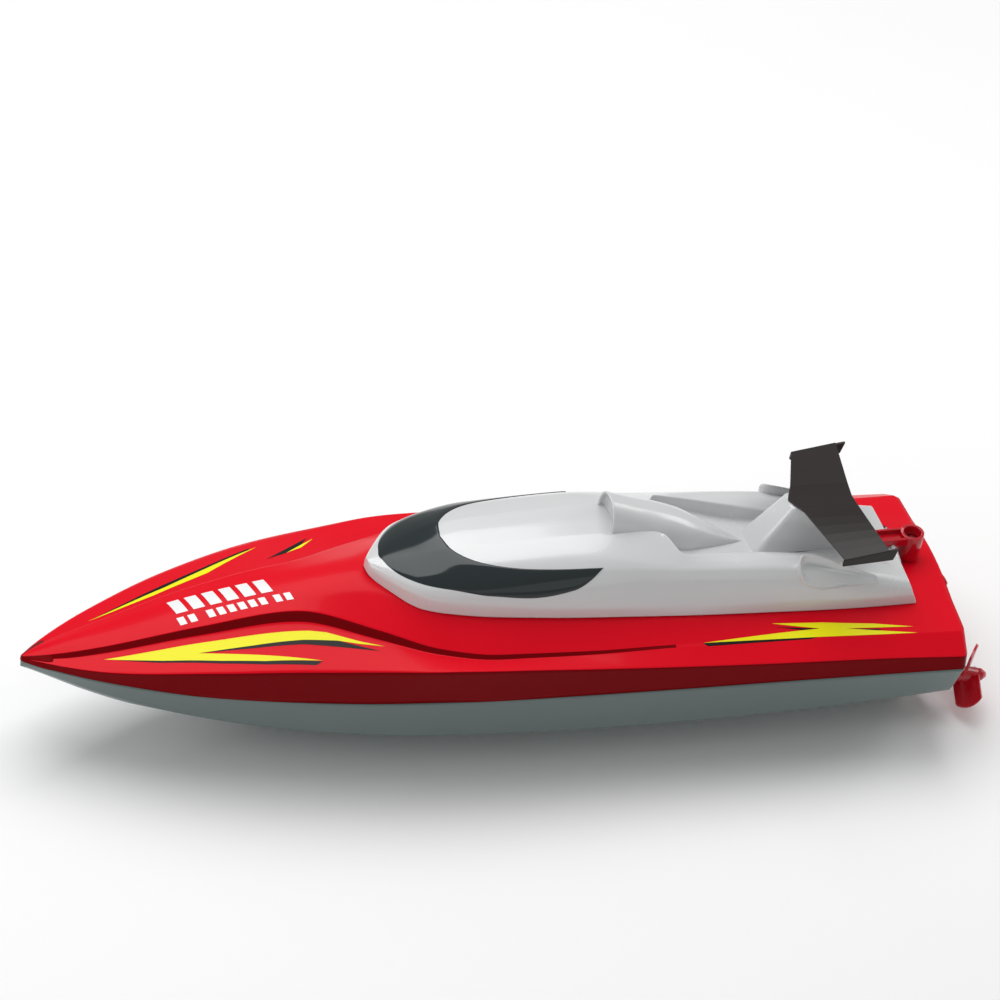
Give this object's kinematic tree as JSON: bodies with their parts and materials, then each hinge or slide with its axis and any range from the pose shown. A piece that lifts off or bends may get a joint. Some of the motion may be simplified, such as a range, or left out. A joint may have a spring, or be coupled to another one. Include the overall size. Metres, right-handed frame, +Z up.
{
  "type": "radio controlled boat",
  "caption": "Model speed boat with a two-part hull, tip-up canopy held by a turning latch, rear wing and driven screws under the stern.",
  "frame": {"origin": "middle of the boat's length and beam, on the surface the keel stands on", "axes": "+X forward to the bow, +Y to port, +Z up"},
  "size_m": [0.4712, 0.1196, 0.1193],
  "materials": {
    "hull_grey": "satin moulded plastic",
    "deck_red": "gloss moulded plastic",
    "bumper_red": "soft matt rubber",
    "canopy_silver": "gloss painted plastic",
    "glass_black": "gloss tinted panel",
    "wing_charcoal": "gloss moulded plastic",
    "latch_red": "gloss moulded plastic",
    "steel": "bright steel",
    "zinc": "plated steel",
    "hatch_smoke": "smoked plastic sheet",
    "seal_black": "soft rubber",
    "tray_black": "matt plastic",
    "battery_blue": "shrink sleeve",
    "strap_black": "woven strap",
    "plug_white": "matt plastic",
    "board_green": "lacquered board",
    "sink_alloy": "anodised",
    "wire_red": "silicone insulation",
    "wire_black": "silicone insulation",
    "brass": "drawn tube",
    "knob_black": "ribbed plastic"
  },
  "bodies": {
    "hull": {"hull_bottom": "hull_grey", "deck": "deck_red", "bow_bumper": "bumper_red", "latch_screw": "steel", "inner_hatch": "hatch_smoke", "hatch_seal": "seal_black", "battery_tray": "tray_black", "battery_pack": "battery_blue", "battery_strap": "strap_black", "battery_plug": "plug_white", "board_mount": "tray_black", "circuit_board": "board_green", "heat_sink": "sink_alloy", "radio_module": "sink_alloy", "battery_lead_red": "wire_red", "battery_lead_black": "wire_black", "hatch_screw_1": "knob_black", "board_screw_1": "steel", "hatch_screw_2": "knob_black", "board_screw_2": "steel", "hatch_screw_3": "knob_black", "board_screw_3": "steel", "hatch_screw_4": "knob_black", "board_screw_4": "steel", "stern_tube_port": "brass", "shaft_strut_port": "latch_red", "motor_port": "zinc", "motor_end_port": "tray_black", "motor_mount_port": "sink_alloy", "mount_screw_port_1": "steel", "mount_screw_port_2": "steel", "motor_lead_port_red": "wire_red", "motor_lead_port_black": "wire_black", "stern_tube_starboard": "brass", "shaft_strut_starboard": "latch_red", "motor_starboard": "zinc", "motor_end_starboard": "tray_black", "motor_mount_starboard": "sink_alloy", "mount_screw_starboard_1": "steel", "mount_screw_starboard_2": "steel", "motor_lead_starboard_red": "wire_red", "motor_lead_starboard_black": "wire_black"},
    "canopy": {"canopy": "canopy_silver", "windscreen": "glass_black", "wing": "wing_charcoal", "wing_screw_1": "steel", "wing_screw_2": "steel"},
    "latch": {"hatch_latch": "latch_red"},
    "drive_port": {"propeller_port": "latch_red", "prop_nut_port": "latch_red", "prop_shaft_port": "steel", "coupling_port": "sink_alloy", "motor_shaft_port": "steel"},
    "drive_starboard": {"propeller_starboard": "latch_red", "prop_nut_starboard": "latch_red", "prop_shaft_starboard": "steel", "coupling_starboard": "sink_alloy", "motor_shaft_starboard": "steel"}
  },
  "joints": [
    {"name": "canopy_hinge", "type": "hinge", "parent": "hull", "child": "canopy", "pos_m": [0.0729, 0, 0.0878], "axis": [0, 1, 0], "range_deg": [0, 60]},
    {"name": "latch_turn", "type": "hinge", "parent": "hull", "child": "latch", "pos_m": [-0.1955, 0, 0.0783], "axis": [0, 0, 1], "range_deg": [0, 105]},
    {"name": "propeller_spin_port", "type": "hinge", "parent": "hull", "child": "drive_port", "pos_m": [-0.2255, 0.027, 0.0163], "axis": [0.9925, 0, 0.1219], "continuous": true},
    {"name": "propeller_spin_starboard", "type": "hinge", "parent": "hull", "child": "drive_starboard", "pos_m": [-0.2255, -0.027, 0.0163], "axis": [0.9925, 0, 0.1219], "continuous": true}
  ]
}
